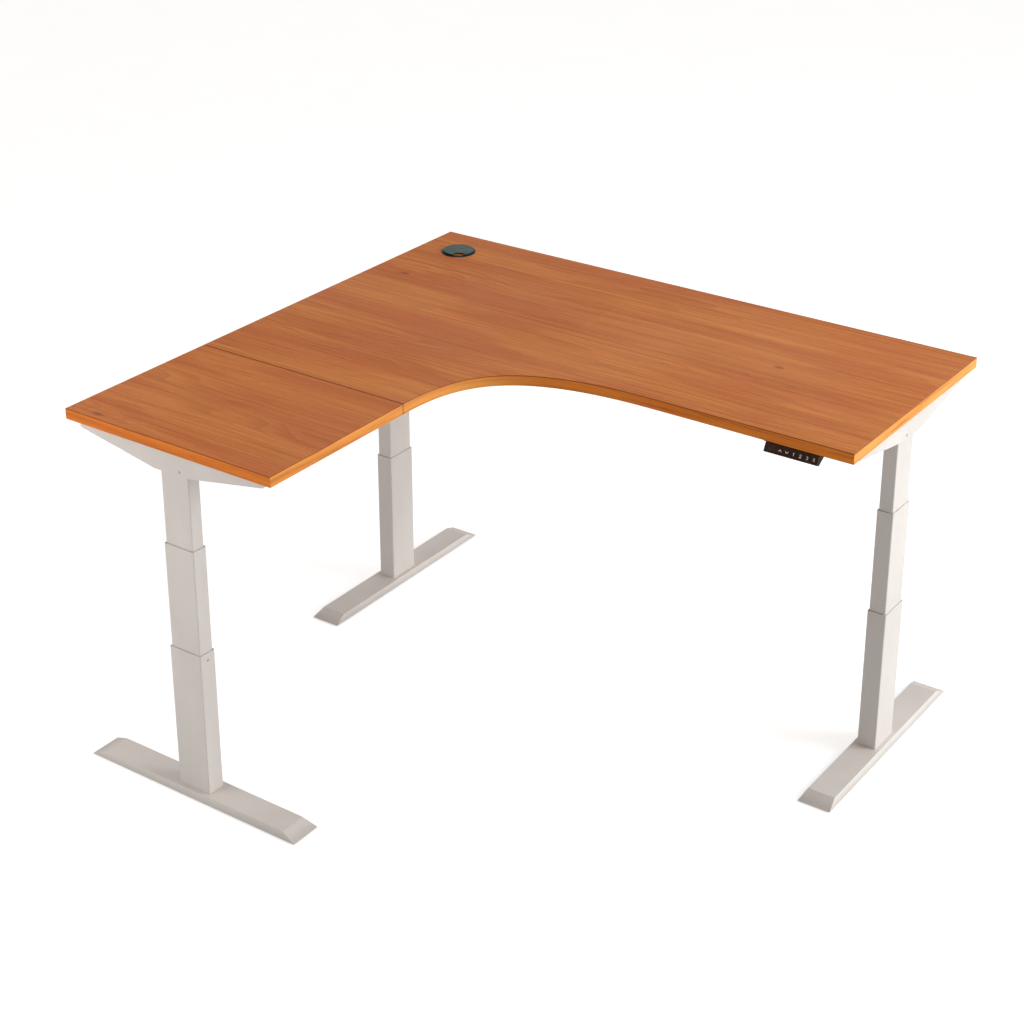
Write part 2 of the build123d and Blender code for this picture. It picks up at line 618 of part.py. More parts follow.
with BuildPart() as control_base:
    with BuildSketch(Plane(origin=(CONTROL_X, CONTROL_Y, CONTROL_TOP))):
        RectangleRounded(CONTROL_LENGTH + 2 * CONTROL_EAR, CONTROL_DEPTH, 6)
    extrude(amount=CONTROL_PLATE)
    with BuildSketch(Plane(origin=(CONTROL_X, CONTROL_Y, CONTROL_TOP - STANDOFF_DROP))):
        with GridLocations(200, 70, 2, 2):
            Circle(3)
    extrude(amount=STANDOFF_DROP)
    cut_screw_holes(CONTROL_SCREW_PLANES, WOOD_SCREW)
save(control_base.part, "control_box_base")

with BuildPart() as control_cover:
    with BuildSketch(CONTROL_PLANE):
        RectangleRounded(CONTROL_LENGTH, CONTROL_DEPTH, 5)
    extrude(amount=CONTROL_TOP - CONTROL_BOTTOM)
    fillet(control_cover.edges().group_by(Axis.Z)[0], 2)
    with BuildSketch(CONTROL_PLANE.offset(CONTROL_WALL)):
        RectangleRounded(CONTROL_LENGTH - 2 * CONTROL_WALL, CONTROL_DEPTH - 2 * CONTROL_WALL, 3)
    extrude(amount=CONTROL_TOP - CONTROL_BOTTOM, mode=Mode.SUBTRACT)
    for socket_plane, block in ((PORT_PLANE, PORT_BLOCK), (INLET_PLANE, INLET_BLOCK)):
        with BuildSketch(socket_plane):
            Rectangle(*block)
        extrude(amount=-2 * CONTROL_WALL, mode=Mode.SUBTRACT)
save(control_cover.part, "control_box_cover")

with BuildPart() as control_board:
    with BuildSketch(Plane(origin=(CONTROL_X, CONTROL_Y, CONTROL_TOP - STANDOFF_DROP - BOARD_THICKNESS))):
        Rectangle(226, 94)
    extrude(amount=BOARD_THICKNESS)
    with BuildSketch(Plane(origin=(CONTROL_X, CONTROL_Y, CONTROL_TOP - STANDOFF_DROP - BOARD_THICKNESS))):
        with Locations((-70, 12), (-35, 12), (60, -18)):
            Rectangle(22, 30)
    extrude(amount=-11)
save(control_board.part, "control_box_board")

with BuildPart() as control_sockets:
    with BuildSketch(PORT_PLANE):
        Rectangle(*PORT_BLOCK)
    extrude(amount=-SOCKET_DEPTH)
    with BuildSketch(PORT_PLANE):
        with GridLocations(PORT_PITCH, 0, 4, 1):
            Rectangle(*PORT_POCKET)
    extrude(amount=-POCKET_DEPTH, mode=Mode.SUBTRACT)
    with BuildSketch(INLET_PLANE):
        Rectangle(*INLET_BLOCK)
    extrude(amount=-SOCKET_DEPTH)
    with BuildSketch(INLET_PLANE):
        Rectangle(*INLET_POCKET)
    extrude(amount=-POCKET_DEPTH, mode=Mode.SUBTRACT)
save(control_sockets.part, "control_box_sockets")


# ---------------------------------------------------------------- handset
# The face leans back: its upper edge meets the top's underside, its lower edge reaches out to the user.
HANDSET_TOP = UNDERSIDE - HANDSET_FLANGE
HANDSET_FACE_HEIGHT = (HANDSET_FACE_DROP**2 + HANDSET_FACE_REACH**2) ** 0.5
HANDSET_DEPTH = 12.0
HANDSET_POCKET_DEPTH = 7.0
FACE_NORMAL = Vector(0, -HANDSET_FACE_DROP, HANDSET_FACE_REACH).normalized()
FACE_PLANE = Plane(
    origin=(HANDSET_X, MAIN_FRONT - HANDSET_FACE_REACH / 2, HANDSET_TOP - HANDSET_FACE_DROP / 2),
    x_dir=(1, 0, 0), z_dir=FACE_NORMAL)
BUTTON_XS = [LAST_BUTTON_FROM_CENTRE - BUTTON_PITCH * (5 - i) for i in range(6)]
BUTTON_PROUD = 0.8
BUTTON_LENGTH = 4.0
DISPLAY_SIZE = (24.0, 12.0)
DISPLAY_FROM_CENTRE = 47.0

with BuildPart() as handset_housing:
    face_foot = (MAIN_FRONT - HANDSET_FACE_REACH, HANDSET_TOP - HANDSET_FACE_DROP)
    keel = (face_foot[0] - HANDSET_DEPTH * FACE_NORMAL.Y, face_foot[1] - HANDSET_DEPTH * FACE_NORMAL.Z)
    with BuildSketch(Plane.YZ.offset(HANDSET_X)):
        with BuildLine():
            Polyline((MAIN_FRONT, HANDSET_TOP), face_foot, keel, (HANDSET_BACK - 20, HANDSET_TOP),
                     (MAIN_FRONT, HANDSET_TOP))
        make_face()
    extrude(amount=HANDSET_WIDTH / 2, both=True)
    with BuildSketch(Plane(origin=(HANDSET_X, MAIN_FRONT + 2, HANDSET_TOP))):
        Rectangle(HANDSET_WIDTH + 10, HANDSET_BACK - MAIN_FRONT - 2, align=(Align.CENTER, Align.MIN))
    extrude(amount=HANDSET_FLANGE)
    with BuildSketch(FACE_PLANE):
        Rectangle(HANDSET_WIDTH + 20, HANDSET_FACE_HEIGHT + 20)
    extrude(amount=-HANDSET_PLATE, mode=Mode.SUBTRACT)
    with BuildSketch(FACE_PLANE.offset(-HANDSET_PLATE)):
        Rectangle(HANDSET_WIDTH - 4, HANDSET_FACE_HEIGHT - 6)
    extrude(amount=-HANDSET_POCKET_DEPTH, mode=Mode.SUBTRACT)
    cut_screw_holes(HANDSET_SCREW_PLANES, WOOD_SCREW)
save(handset_housing.part, "handset_housing")

with BuildPart() as handset_face:
    with BuildSketch(FACE_PLANE.offset(-HANDSET_PLATE)):
        RectangleRounded(HANDSET_WIDTH, HANDSET_FACE_HEIGHT, 1.2)
        with Locations(*[(x, 0) for x in BUTTON_XS]):
            Circle(BUTTON_RADIUS + BUTTON_GAP, mode=Mode.SUBTRACT)
    extrude(amount=HANDSET_PLATE)
    with BuildSketch(FACE_PLANE):
        with Locations((-DISPLAY_FROM_CENTRE, 0)):
            RectangleRounded(*DISPLAY_SIZE, 1)
    extrude(amount=-0.4, mode=Mode.SUBTRACT)
save(handset_face.part, "handset_face")


def make_button(x):
    """Round button cap in the handset's face."""
    with BuildPart() as button:
        with BuildSketch(FACE_PLANE.offset(BUTTON_PROUD - BUTTON_LENGTH)):
            with Locations((x, 0)):
                Circle(BUTTON_RADIUS)
        extrude(amount=BUTTON_LENGTH)
    return button.part


for button_name, button_x in zip(BUTTON_NAMES, BUTTON_XS):
    save(make_button(button_x), f"button_{button_name}")
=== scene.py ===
import json
import math

import bmesh
import bpy
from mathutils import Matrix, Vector


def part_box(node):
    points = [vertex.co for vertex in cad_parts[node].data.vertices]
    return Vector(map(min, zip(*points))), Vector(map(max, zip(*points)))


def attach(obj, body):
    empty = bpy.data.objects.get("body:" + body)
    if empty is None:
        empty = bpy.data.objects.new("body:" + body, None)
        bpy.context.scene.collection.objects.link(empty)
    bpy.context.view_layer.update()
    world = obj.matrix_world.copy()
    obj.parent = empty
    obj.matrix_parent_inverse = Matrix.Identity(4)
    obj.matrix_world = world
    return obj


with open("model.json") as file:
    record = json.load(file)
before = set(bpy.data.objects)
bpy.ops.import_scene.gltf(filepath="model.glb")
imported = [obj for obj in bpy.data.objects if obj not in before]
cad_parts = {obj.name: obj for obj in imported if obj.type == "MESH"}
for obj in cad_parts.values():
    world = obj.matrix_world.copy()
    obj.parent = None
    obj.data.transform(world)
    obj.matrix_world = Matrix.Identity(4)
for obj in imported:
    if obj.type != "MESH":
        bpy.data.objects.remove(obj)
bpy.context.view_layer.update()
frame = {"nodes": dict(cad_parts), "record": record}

nodes = frame["nodes"]
slot_of = {part["node"]: part["material_slot"] for part in frame["record"]["subparts"]}


# ---------------------------------------------------------------- node materials

class Surface:
    """A node material with one Principled shader, and short calls that make the nodes feeding it."""

    def __init__(self, name, flat):
        self.material = bpy.data.materials.new(name)
        self.material.use_nodes = True
        self.material.diffuse_color = (*flat, 1)
        self.tree = self.material.node_tree
        self.tree.nodes.clear()
        self.shader = self.tree.nodes.new("ShaderNodeBsdfPrincipled")
        output = self.tree.nodes.new("ShaderNodeOutputMaterial")
        self.tree.links.new(self.shader.outputs["BSDF"], output.inputs["Surface"])
        coordinates = self.tree.nodes.new("ShaderNodeTexCoord")
        self.place = coordinates.outputs["Object"]
        self.facing = coordinates.outputs["Normal"]
        self.shader.inputs["Base Color"].default_value = (*flat, 1)

    def feed(self, socket, value):
        """Links a socket to another one's output, or sets it to a constant."""
        if isinstance(value, bpy.types.NodeSocket):
            self.tree.links.new(value, socket)
        elif socket.type == "RGBA":
            socket.default_value = (*value, 1)
        else:
            socket.default_value = value

    def finish(self, **inputs):
        """Feeds the Principled shader's inputs, given by name with _ for each space."""
        for name, value in inputs.items():
            self.feed(self.shader.inputs[name.replace("_", " ")], value)
        return self.material

    def calc(self, operation, a, b=0.0, c=0.0):
        node = self.tree.nodes.new("ShaderNodeMath")
        node.operation = operation
        for socket, value in zip(node.inputs, (a, b, c)):
            self.feed(socket, value)
        return node.outputs[0]

    def dot(self, a, b):
        node = self.tree.nodes.new("ShaderNodeVectorMath")
        node.operation = "DOT_PRODUCT"
        self.feed(node.inputs[0], a)
        self.feed(node.inputs[1], b)
        return node.outputs["Value"]

    def split(self, vector):
        node = self.tree.nodes.new("ShaderNodeSeparateXYZ")
        self.feed(node.inputs[0], vector)
        return node.outputs[0], node.outputs[1], node.outputs[2]

    def join(self, x, y, z=0.0):
        node = self.tree.nodes.new("ShaderNodeCombineXYZ")
        for socket, value in zip(node.inputs, (x, y, z)):
            self.feed(socket, value)
        return node.outputs[0]

    def stretch(self, vector, scale, shift=(0.0, 0.0, 0.0)):
        node = self.tree.nodes.new("ShaderNodeMapping")
        self.feed(node.inputs["Vector"], vector)
        self.feed(node.inputs["Scale"], scale)
        self.feed(node.inputs["Location"], shift)
        return node.outputs[0]

    def noise(self, vector, scale=1.0, detail=2.0, roughness=0.5, distortion=0.0):
        node = self.tree.nodes.new("ShaderNodeTexNoise")
        self.feed(node.inputs["Vector"], vector)
        self.feed(node.inputs["Scale"], scale)
        self.feed(node.inputs["Detail"], detail)
        self.feed(node.inputs["Roughness"], roughness)
        self.feed(node.inputs["Distortion"], distortion)
        return node.outputs[0]

    def random(self, vector):
        node = self.tree.nodes.new("ShaderNodeTexWhiteNoise")
        self.feed(node.inputs["Vector"], vector)
        return node.outputs["Value"]

    def step(self, value, low, high, to_low=0.0, to_high=1.0):
        """Smooth step of value from low to high."""
        node = self.tree.nodes.new("ShaderNodeMapRange")
        node.interpolation_type = "SMOOTHSTEP"
        for socket, setting in zip(node.inputs, (value, low, high, to_low, to_high)):
            self.feed(socket, setting)
        return node.outputs[0]

    def mix(self, factor, a, b):
        """Colour a blended towards colour b by factor."""
        node = self.tree.nodes.new("ShaderNodeMix")
        node.data_type = "RGBA"
        self.feed(node.inputs[0], factor)
        self.feed(node.inputs[6], a)
        self.feed(node.inputs[7], b)
        return node.outputs[2]

    def bump(self, height, distance, strength=1.0, normal=None):
        node = self.tree.nodes.new("ShaderNodeBump")
        self.feed(node.inputs["Height"], height)
        self.feed(node.inputs["Distance"], distance)
        self.feed(node.inputs["Strength"], strength)
        if normal is not None:
            self.feed(node.inputs["Normal"], normal)
        return node.outputs[0]

    def rounded(self, radius):
        """Normal that rounds the edges, and a mask of where it does."""
        bevel = self.tree.nodes.new("ShaderNodeBevel")
        bevel.samples = 4
        self.feed(bevel.inputs["Radius"], radius)
        geometry = self.tree.nodes.new("ShaderNodeNewGeometry")
        along = self.dot(bevel.outputs[0], geometry.outputs["Normal"])
        return bevel.outputs[0], self.step(along, 0.999, 0.85)


# ---------------------------------------------------------------- wood veneer

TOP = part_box("main_top")[1].z
SEAM = (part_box("main_top")[0].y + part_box("return_top")[1].y) / 2
# x, y and radius of each knot
KNOTS = [(-0.660, 0.384, 0.011), (0.422, 0.391, 0.009), (-0.674, -0.690, 0.010), (0.190, 0.257, 0.004)]


def wood_top():
    """Veneer on top, banding round the edges and a plain backing sheet underneath, told apart by the normal."""
    s = Surface("wood_top", (0.43, 0.155, 0.06))
    x, y, z = s.split(s.place)
    nx, ny, nz = s.split(s.facing)

    # Veneer leaves: long staves along X, each with its own tone.
    sway = s.noise(s.stretch(s.place, (0.7, 1.2, 0.0)), 1.0, 1.0)
    rows = s.calc("MULTIPLY_ADD", y, 8.6, s.calc("MULTIPLY", sway, 0.5))
    row = s.calc("FLOOR", rows)
    columns = s.calc("MULTIPLY_ADD", x, 1.05, s.calc("MULTIPLY", s.random(s.join(row, 3.0)), 4.0))
    leaf = s.random(s.join(row, s.calc("FLOOR", columns), 1.0))
    leaf_depth = s.calc("MULTIPLY", leaf, 23.0)

    # Growth rings: lines along X, pushed sideways into cathedral figures and round the knots.
    knot_push = 0.0
    knot_dark = 0.0
    for kx, ky, radius in KNOTS:
        dx = s.calc("MULTIPLY", s.calc("SUBTRACT", x, kx), 0.42)
        dy = s.calc("SUBTRACT", y, ky)
        far = s.calc("SQRT", s.calc("ADD", s.calc("MULTIPLY", dx, dx), s.calc("MULTIPLY", dy, dy)))
        knot_push = s.calc("ADD", knot_push, s.step(far, radius * 6, radius * 0.5, 0.0, 2.4))
        knot_dark = s.calc("ADD", knot_dark, s.step(far, radius * 0.95, radius * 0.25))
    swell_place = s.join(s.calc("MULTIPLY", x, 1.25), s.calc("MULTIPLY", y, 6.5), leaf_depth)
    swell = s.noise(swell_place, 1.0, 2.0, 0.45)
    phase = s.calc("MULTIPLY_ADD", y, 46.0, s.calc("MULTIPLY", swell, 13.0))
    phase = s.calc("ADD", phase, knot_push)
    ring = s.calc("FRACT", phase)
    late = s.calc("MULTIPLY", s.step(ring, 0.15, 0.92), s.step(ring, 1.0, 0.93))
    figure_depth = s.calc("ADD", leaf_depth, 7.0)
    figure_place = s.join(s.calc("MULTIPLY", x, 0.9), s.calc("MULTIPLY", y, 5.0), figure_depth)
    figured = s.noise(figure_place)
    late = s.calc("MULTIPLY", late, s.step(figured, 0.36, 0.62, 0.22, 1.0))

    streak = s.noise(s.stretch(s.place, (1.2, 66.0, 40.0)), 1.0, 5.0, 0.60)
    line = s.noise(s.stretch(s.place, (2.6, 190.0, 120.0)), 1.0, 3.0, 0.62)
    fibre = s.noise(s.stretch(s.place, (14.0, 420.0, 300.0)), 1.0, 4.0, 0.7)
    pores = s.step(s.noise(s.stretch(s.place, (45.0, 1500.0, 900.0)), 1.0, 2.0), 0.60, 0.72)
    patch = s.noise(s.stretch(s.place, (1.5, 9.5, 0.0), (4.0, 1.0, 0.0)), 1.0, 2.0, 0.5, 0.4)
    fleck = s.noise(s.stretch(s.place, (95.0, 210.0, 90.0)), 1.0, 2.0)

    warm = (0.830, 0.282, 0.068)
    red = (0.680, 0.178, 0.045)
    tone = s.calc("MULTIPLY_ADD", leaf, 0.35, s.calc("MULTIPLY", s.step(patch, 0.42, 0.60), 0.65))
    top = s.mix(tone, warm, red)
    top = s.mix(s.step(streak, 0.38, 0.70, 0.0, 0.26), top, (0.50, 0.120, 0.024))
    top = s.mix(s.step(line, 0.48, 0.66, 0.0, 0.40), top, (0.42, 0.095, 0.020))
    top = s.mix(s.step(streak, 0.48, 0.25, 0.0, 0.16), top, (0.88, 0.37, 0.105))
    top = s.mix(s.calc("MULTIPLY", late, 0.30), top, (0.44, 0.098, 0.020))
    top = s.mix(s.step(fibre, 0.42, 0.75, 0.0, 0.22), top, (0.90, 0.38, 0.12))
    top = s.mix(s.calc("MULTIPLY", pores, 0.35), top, (0.21, 0.055, 0.02))
    top = s.mix(s.step(fleck, 0.55, 0.75, 0.0, 0.10), top, (0.86, 0.45, 0.20))
    top = s.mix(s.calc("MULTIPLY", knot_dark, 0.55), top, (0.20, 0.055, 0.025))

    # Edge banding: brighter, with its grain along the edge, and a dark line where it meets the veneer.
    along = s.calc("SUBTRACT", s.calc("MULTIPLY", x, ny), s.calc("MULTIPLY", y, nx))
    band_place = s.join(along, z)
    band_streak = s.noise(s.stretch(band_place, (2.6, 105.0, 0.0)), 1.0, 4.0, 0.6, 0.9)
    band_tone = s.noise(s.stretch(band_place, (2.1, 20.0, 0.0), (3.0, 0.0, 0.0)), 1.0, 1.0)
    band_fibre = s.noise(s.stretch(band_place, (20.0, 700.0, 0.0)), 1.0, 3.0, 0.7)
    # Painted light: band faces turned towards +X get a paler lit copy of the band colour, and all other band
    # faces get a deeper shaded copy.
    band_lit_copy = s.mix(s.step(band_tone, 0.35, 0.65), (0.90, 0.380, 0.085), (0.80, 0.290, 0.055))
    band_shaded_copy = s.mix(s.step(band_tone, 0.35, 0.65), (0.84, 0.240, 0.025), (0.72, 0.172, 0.016))
    band = s.mix(s.step(nx, 0.2, 0.9), band_shaded_copy, band_lit_copy)
    band = s.mix(s.step(band_streak, 0.47, 0.64, 0.0, 0.62), band, (0.45, 0.110, 0.014))
    band = s.mix(s.step(band_fibre, 0.45, 0.75, 0.0, 0.30), band, (0.92, 0.43, 0.11))
    arris = s.step(z, TOP - 0.0026, TOP - 0.0014)
    band = s.mix(s.calc("MULTIPLY", arris, 0.85), band, (0.20, 0.042, 0.010))
    side = s.step(s.calc("ABSOLUTE", nz), 0.90, 0.55)
    colour = s.mix(side, top, band)

    # Shadow in the seam between the two panels.
    from_seam = s.calc("ABSOLUTE", s.calc("SUBTRACT", y, SEAM))
    colour = s.mix(s.step(from_seam, 0.0016, 0.0008, 0.0, 0.9), colour, (0.10, 0.022, 0.007))

    # Plain backing sheet underneath.
    speck = s.noise(s.place, 420.0, 3.0, 0.7)
    backing = s.mix(s.step(speck, 0.35, 0.7), (0.47, 0.25, 0.125), (0.36, 0.17, 0.08))
    colour = s.mix(s.step(nz, -0.55, -0.9), colour, backing)

    relief = s.calc("ADD", s.calc("MULTIPLY", fibre, 0.5), s.calc("MULTIPLY", pores, -0.7))
    wear = s.noise(s.stretch(s.place, (3.0, 3.0, 3.0)), 1.0, 3.0)
    return s.finish(
        Base_Color=colour,
        Roughness=s.step(wear, 0.3, 0.7, 0.50, 0.62),
        Specular_IOR_Level=0.16,
        Normal=s.bump(relief, 0.00012, 0.8),
    )


# ---------------------------------------------------------------- metals, paint and plastics

def powder_coat():
    """Fine-textured warm grey-white powder coat, lighter on the edges from a thinner coat and a painted
    highlight, darker and speckled low down.
    """
    s = Surface("powder_coat", (0.70, 0.665, 0.635))
    z = s.split(s.place)[2]
    normal, edge = s.rounded(0.0006)
    grain = s.noise(s.place, 1150.0, 3.0, 0.6)
    orange_peel = s.noise(s.place, 420.0, 1.0)
    cloud = s.noise(s.stretch(s.place, (5.0, 5.0, 2.4)), 1.0, 4.0, 0.55)
    colour = s.mix(s.step(cloud, 0.3, 0.7), (0.735, 0.690, 0.652), (0.680, 0.635, 0.598))
    colour = s.mix(s.step(grain, 0.55, 0.78, 0.0, 0.35), colour, (0.52, 0.48, 0.45))
    colour = s.mix(s.step(grain, 0.42, 0.25, 0.0, 0.40), colour, (0.84, 0.81, 0.78))
    # Lighter along the rounded edges: partly a thinner coat, partly a painted highlight.
    colour = s.mix(s.calc("MULTIPLY", edge, s.step(cloud, 0.35, 0.6, 0.20, 0.55)), colour, (0.83, 0.80, 0.77))
    # Darker speckles within 16 mm of the floor.
    low_speckle_darkening = s.calc("MULTIPLY", s.step(z, 0.016, 0.004), s.step(grain, 0.35, 0.62, 0.10, 0.55))
    colour = s.mix(low_speckle_darkening, colour, (0.40, 0.35, 0.31))
    height = s.calc("ADD", s.calc("MULTIPLY", grain, 0.7), orange_peel)
    return s.finish(
        Base_Color=colour,
        Roughness=s.step(grain, 0.3, 0.7, 0.46, 0.62),
        Specular_IOR_Level=0.42,
        Normal=s.bump(height, 0.00022, 0.55, normal),
    )


def plated_steel(name, bright, dark, low_rough, high_rough, across):
    """Plated or turned steel: fine tool marks, dull spots and brighter edges."""
    s = Surface(name, bright)
    normal, edge = s.rounded(0.0005)
    marks = s.noise(s.stretch(s.place, across), 1.0, 4.0, 0.65)
    spots = s.noise(s.place, 60.0, 4.0, 0.6)
    colour = s.mix(s.step(spots, 0.35, 0.7), bright, dark)
    colour = s.mix(s.step(marks, 0.5, 0.8, 0.0, 0.35), colour, dark)
    colour = s.mix(s.calc("MULTIPLY", edge, 0.5), colour, tuple(min(1.0, c * 1.35) for c in bright))
    return s.finish(
        Base_Color=colour,
        Metallic=0.9,
        Roughness=s.step(spots, 0.3, 0.7, low_rough, high_rough),
        Normal=s.bump(marks, 0.00006, 0.5, normal),
    )


def moulded(name, base, worn, low_rough, high_rough, grain_scale, depth, edge_radius=0.0008, gloss=0.5):
    """Moulded plastic or painted casting with a fine spark-eroded grain."""
    s = Surface(name, base)
    normal, edge = s.rounded(edge_radius)
    grain = s.noise(s.place, grain_scale, 3.0, 0.65)
    cloud = s.noise(s.place, 38.0, 4.0, 0.6)
    darker = tuple(c * 0.78 for c in base)
    colour = s.mix(s.step(cloud, 0.3, 0.7), base, darker)
    colour = s.mix(s.step(grain, 0.52, 0.78, 0.0, 0.45), colour, worn)
    colour = s.mix(s.calc("MULTIPLY", edge, 0.55), colour, worn)
    return s.finish(
        Base_Color=colour,
        Roughness=s.step(cloud, 0.3, 0.7, low_rough, high_rough),
        Specular_IOR_Level=gloss,
        Normal=s.bump(grain, depth, 0.6, normal),
    )


def grommet_plastic():
    """Plastic lit grey-green on the cap's flat top, and in painted shade nearly black on everything below it."""
    s = Surface("grommet_plastic", (0.05, 0.085, 0.08))
    z = s.split(s.place)[2]
    cap_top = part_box("grommet_cap")[1].z
    normal, edge = s.rounded(0.0005)
    grain = s.noise(s.place, 900.0, 3.0, 0.6)
    cloud = s.noise(s.place, 55.0, 3.0)
    top = s.mix(s.step(cloud, 0.3, 0.7), (0.058, 0.112, 0.102), (0.046, 0.090, 0.082))
    # Painted light: the flat top keeps the lit grey-green, and the sides below it get painted shade, nearly
    # black.
    colour = s.mix(s.step(z, cap_top - 0.0009, cap_top - 0.0002), (0.006, 0.016, 0.016), top)
    colour = s.mix(s.step(grain, 0.5, 0.8, 0.0, 0.25), colour, (0.08, 0.125, 0.115))
    colour = s.mix(s.calc("MULTIPLY", edge, 0.08), colour, (0.13, 0.18, 0.17))
    return s.finish(
        Base_Color=colour,
        Roughness=s.step(cloud, 0.3, 0.7, 0.36, 0.5),
        Specular_IOR_Level=0.22,
        Normal=s.bump(grain, 0.00008, 0.5, normal),
    )


def circuit_board():
    """Green solder mask with darker copper runs under it."""
    s = Surface("circuit_board", (0.02, 0.12, 0.05))
    x = s.split(s.place)[0]
    wander = s.calc("MULTIPLY", s.noise(s.place, 30.0, 0.0), 0.02)
    lanes = s.calc("PINGPONG", s.calc("ADD", x, wander), 0.004)
    runs = s.step(lanes, 0.0014, 0.0017)
    speck = s.noise(s.place, 700.0, 2.0)
    colour = s.mix(runs, (0.010, 0.075, 0.030), (0.030, 0.17, 0.07))
    colour = s.mix(s.step(speck, 0.62, 0.75, 0.0, 0.5), colour, (0.5, 0.42, 0.2))
    return s.finish(
        Base_Color=colour, Roughness=s.step(speck, 0.3, 0.7, 0.25, 0.42), Normal=s.bump(runs, 0.00008, 0.6)
    )


def glass_black():
    """Dark window over the display."""
    s = Surface("display_window", (0.018, 0.012, 0.010))
    smear = s.noise(s.stretch(s.place, (90.0, 260.0, 90.0)), 1.0, 3.0)
    colour = s.mix(s.step(smear, 0.3, 0.7), (0.052, 0.021, 0.011), (0.060, 0.025, 0.013))
    return s.finish(
        Base_Color=colour, Roughness=s.step(smear, 0.3, 0.7, 0.22, 0.34), Normal=s.bump(smear, 0.00001, 0.5)
    )


def symbol_white():
    """White ink of the signs on the buttons."""
    s = Surface("symbol_print", (0.85, 0.83, 0.80))
    ink = s.noise(s.place, 2600.0, 3.0)
    colour = s.mix(s.step(ink, 0.35, 0.7), (0.93, 0.92, 0.90), (0.82, 0.81, 0.79))
    return s.finish(
        Base_Color=colour, Roughness=s.step(ink, 0.3, 0.7, 0.45, 0.6), Normal=s.bump(ink, 0.00002, 0.4)
    )


PLATED = {
    # name: bright, dark, lowest and highest roughness, scale of the tool marks
    "zinc_steel": ((0.74, 0.73, 0.70), (0.54, 0.53, 0.50), 0.28, 0.46, (260.0, 260.0, 40.0)),
    "screw_steel": ((0.50, 0.49, 0.48), (0.24, 0.23, 0.22), 0.22, 0.40, (60.0, 60.0, 900.0)),
}
MOULDED = {
    # name: base, worn, lowest and highest roughness, grain scale and depth; then edge radius and gloss if unusual
    "box_plastic": ((0.030, 0.030, 0.032), (0.085, 0.085, 0.088), 0.42, 0.58, 1000.0, 0.00012),
    "socket_plastic": ((0.015, 0.015, 0.016), (0.05, 0.05, 0.052), 0.35, 0.5, 1300.0, 0.00006),
    "handset_plastic": ((0.050, 0.024, 0.014), (0.075, 0.040, 0.026), 0.4, 0.55, 1200.0, 0.00008, 0.0008, 0.15),
    "handset_face": ((0.066, 0.027, 0.014), (0.082, 0.037, 0.021), 0.45, 0.58, 1500.0, 0.00004, 0.0004, 0.15),
    "button_plastic": ((0.064, 0.026, 0.014), (0.080, 0.036, 0.021), 0.48, 0.60, 1500.0, 0.00004, 0.0004, 0.15),
    "gear_housing": ((0.16, 0.16, 0.165), (0.30, 0.30, 0.31), 0.40, 0.56, 700.0, 0.00018),
    "motor_black": ((0.020, 0.020, 0.022), (0.075, 0.075, 0.08), 0.34, 0.5, 1000.0, 0.0001),
    "glide_plastic": ((0.028, 0.028, 0.028), (0.08, 0.08, 0.08), 0.45, 0.62, 800.0, 0.0001),
}

finishes = {
    "wood_top": wood_top(),
    "powder_coat": powder_coat(),
    "grommet_plastic": grommet_plastic(),
    "circuit_board": circuit_board(),
}
finishes.update({name: plated_steel(name, *values) for name, values in PLATED.items()})
finishes.update({name: moulded(name, *values) for name, values in MOULDED.items()})
window_finish = glass_black()
symbol_finish = symbol_white()

for name, node in nodes.items():
    node.data.materials.clear()
    node.data.materials.append(finishes[slot_of[name]])


# ---------------------------------------------------------------- small pieces in mesh code

def add_piece(name, mesh, material, body):
    """Links a bmesh as a piece that rides on a body."""
    data = bpy.data.meshes.new(name)
    bmesh.ops.recalc_face_normals(mesh, faces=mesh.faces)
    mesh.to_mesh(data)
    mesh.free()
    data.materials.append(material)
    piece = bpy.data.objects.new(name, data)
    bpy.context.scene.collection.objects.link(piece)
    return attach(piece, body)


def add_prism(mesh, outline, place, low, high):
    """Prism on a closed outline of (u, v) points, from low to high along the place's normal."""
    origin, across, up, normal = place
    spots = [origin + across * u + up * v for u, v in outline]
    lower = [mesh.verts.new(spot + normal * low) for spot in spots]
    upper = [mesh.verts.new(spot + normal * high) for spot in spots]
    mesh.faces.new(upper)
    mesh.faces.new(list(reversed(lower)))
    for i in range(len(spots)):
        j = (i + 1) % len(spots)
        mesh.faces.new((lower[i], lower[j], upper[j], upper[i]))


def stroke(mesh, points, width, place, low, high):
    """Pen stroke through (u, v) points with a round joint at each."""
    for (u0, v0), (u1, v1) in zip(points, points[1:]):
        length = math.hypot(u1 - u0, v1 - v0)
        du, dv = (u1 - u0) / length * width / 2, (v1 - v0) / length * width / 2
        outline = [(u0 - dv, v0 + du)]
        outline += [(u0 + dv, v0 - du), (u1 + dv, v1 - du), (u1 - dv, v1 + du)]
        add_prism(mesh, outline, place, low, high)
    for u, v in points:
        add_prism(mesh, arc(u, v, width / 2, 0, 330, 11), place, low, high)


def arc(cu, cv, radius, start, end, count=8):
    """Points (u, v) along an arc round (cu, cv), between two angles in degrees."""
    angles = [math.radians(start + (end - start) * i / count) for i in range(count + 1)]
    return [(cu + radius * math.cos(a), cv + radius * math.sin(a)) for a in angles]


def middle(points):
    """Middle of the box round some points."""
    return Vector([(min(p[i] for p in points) + max(p[i] for p in points)) / 2 for i in range(3)])


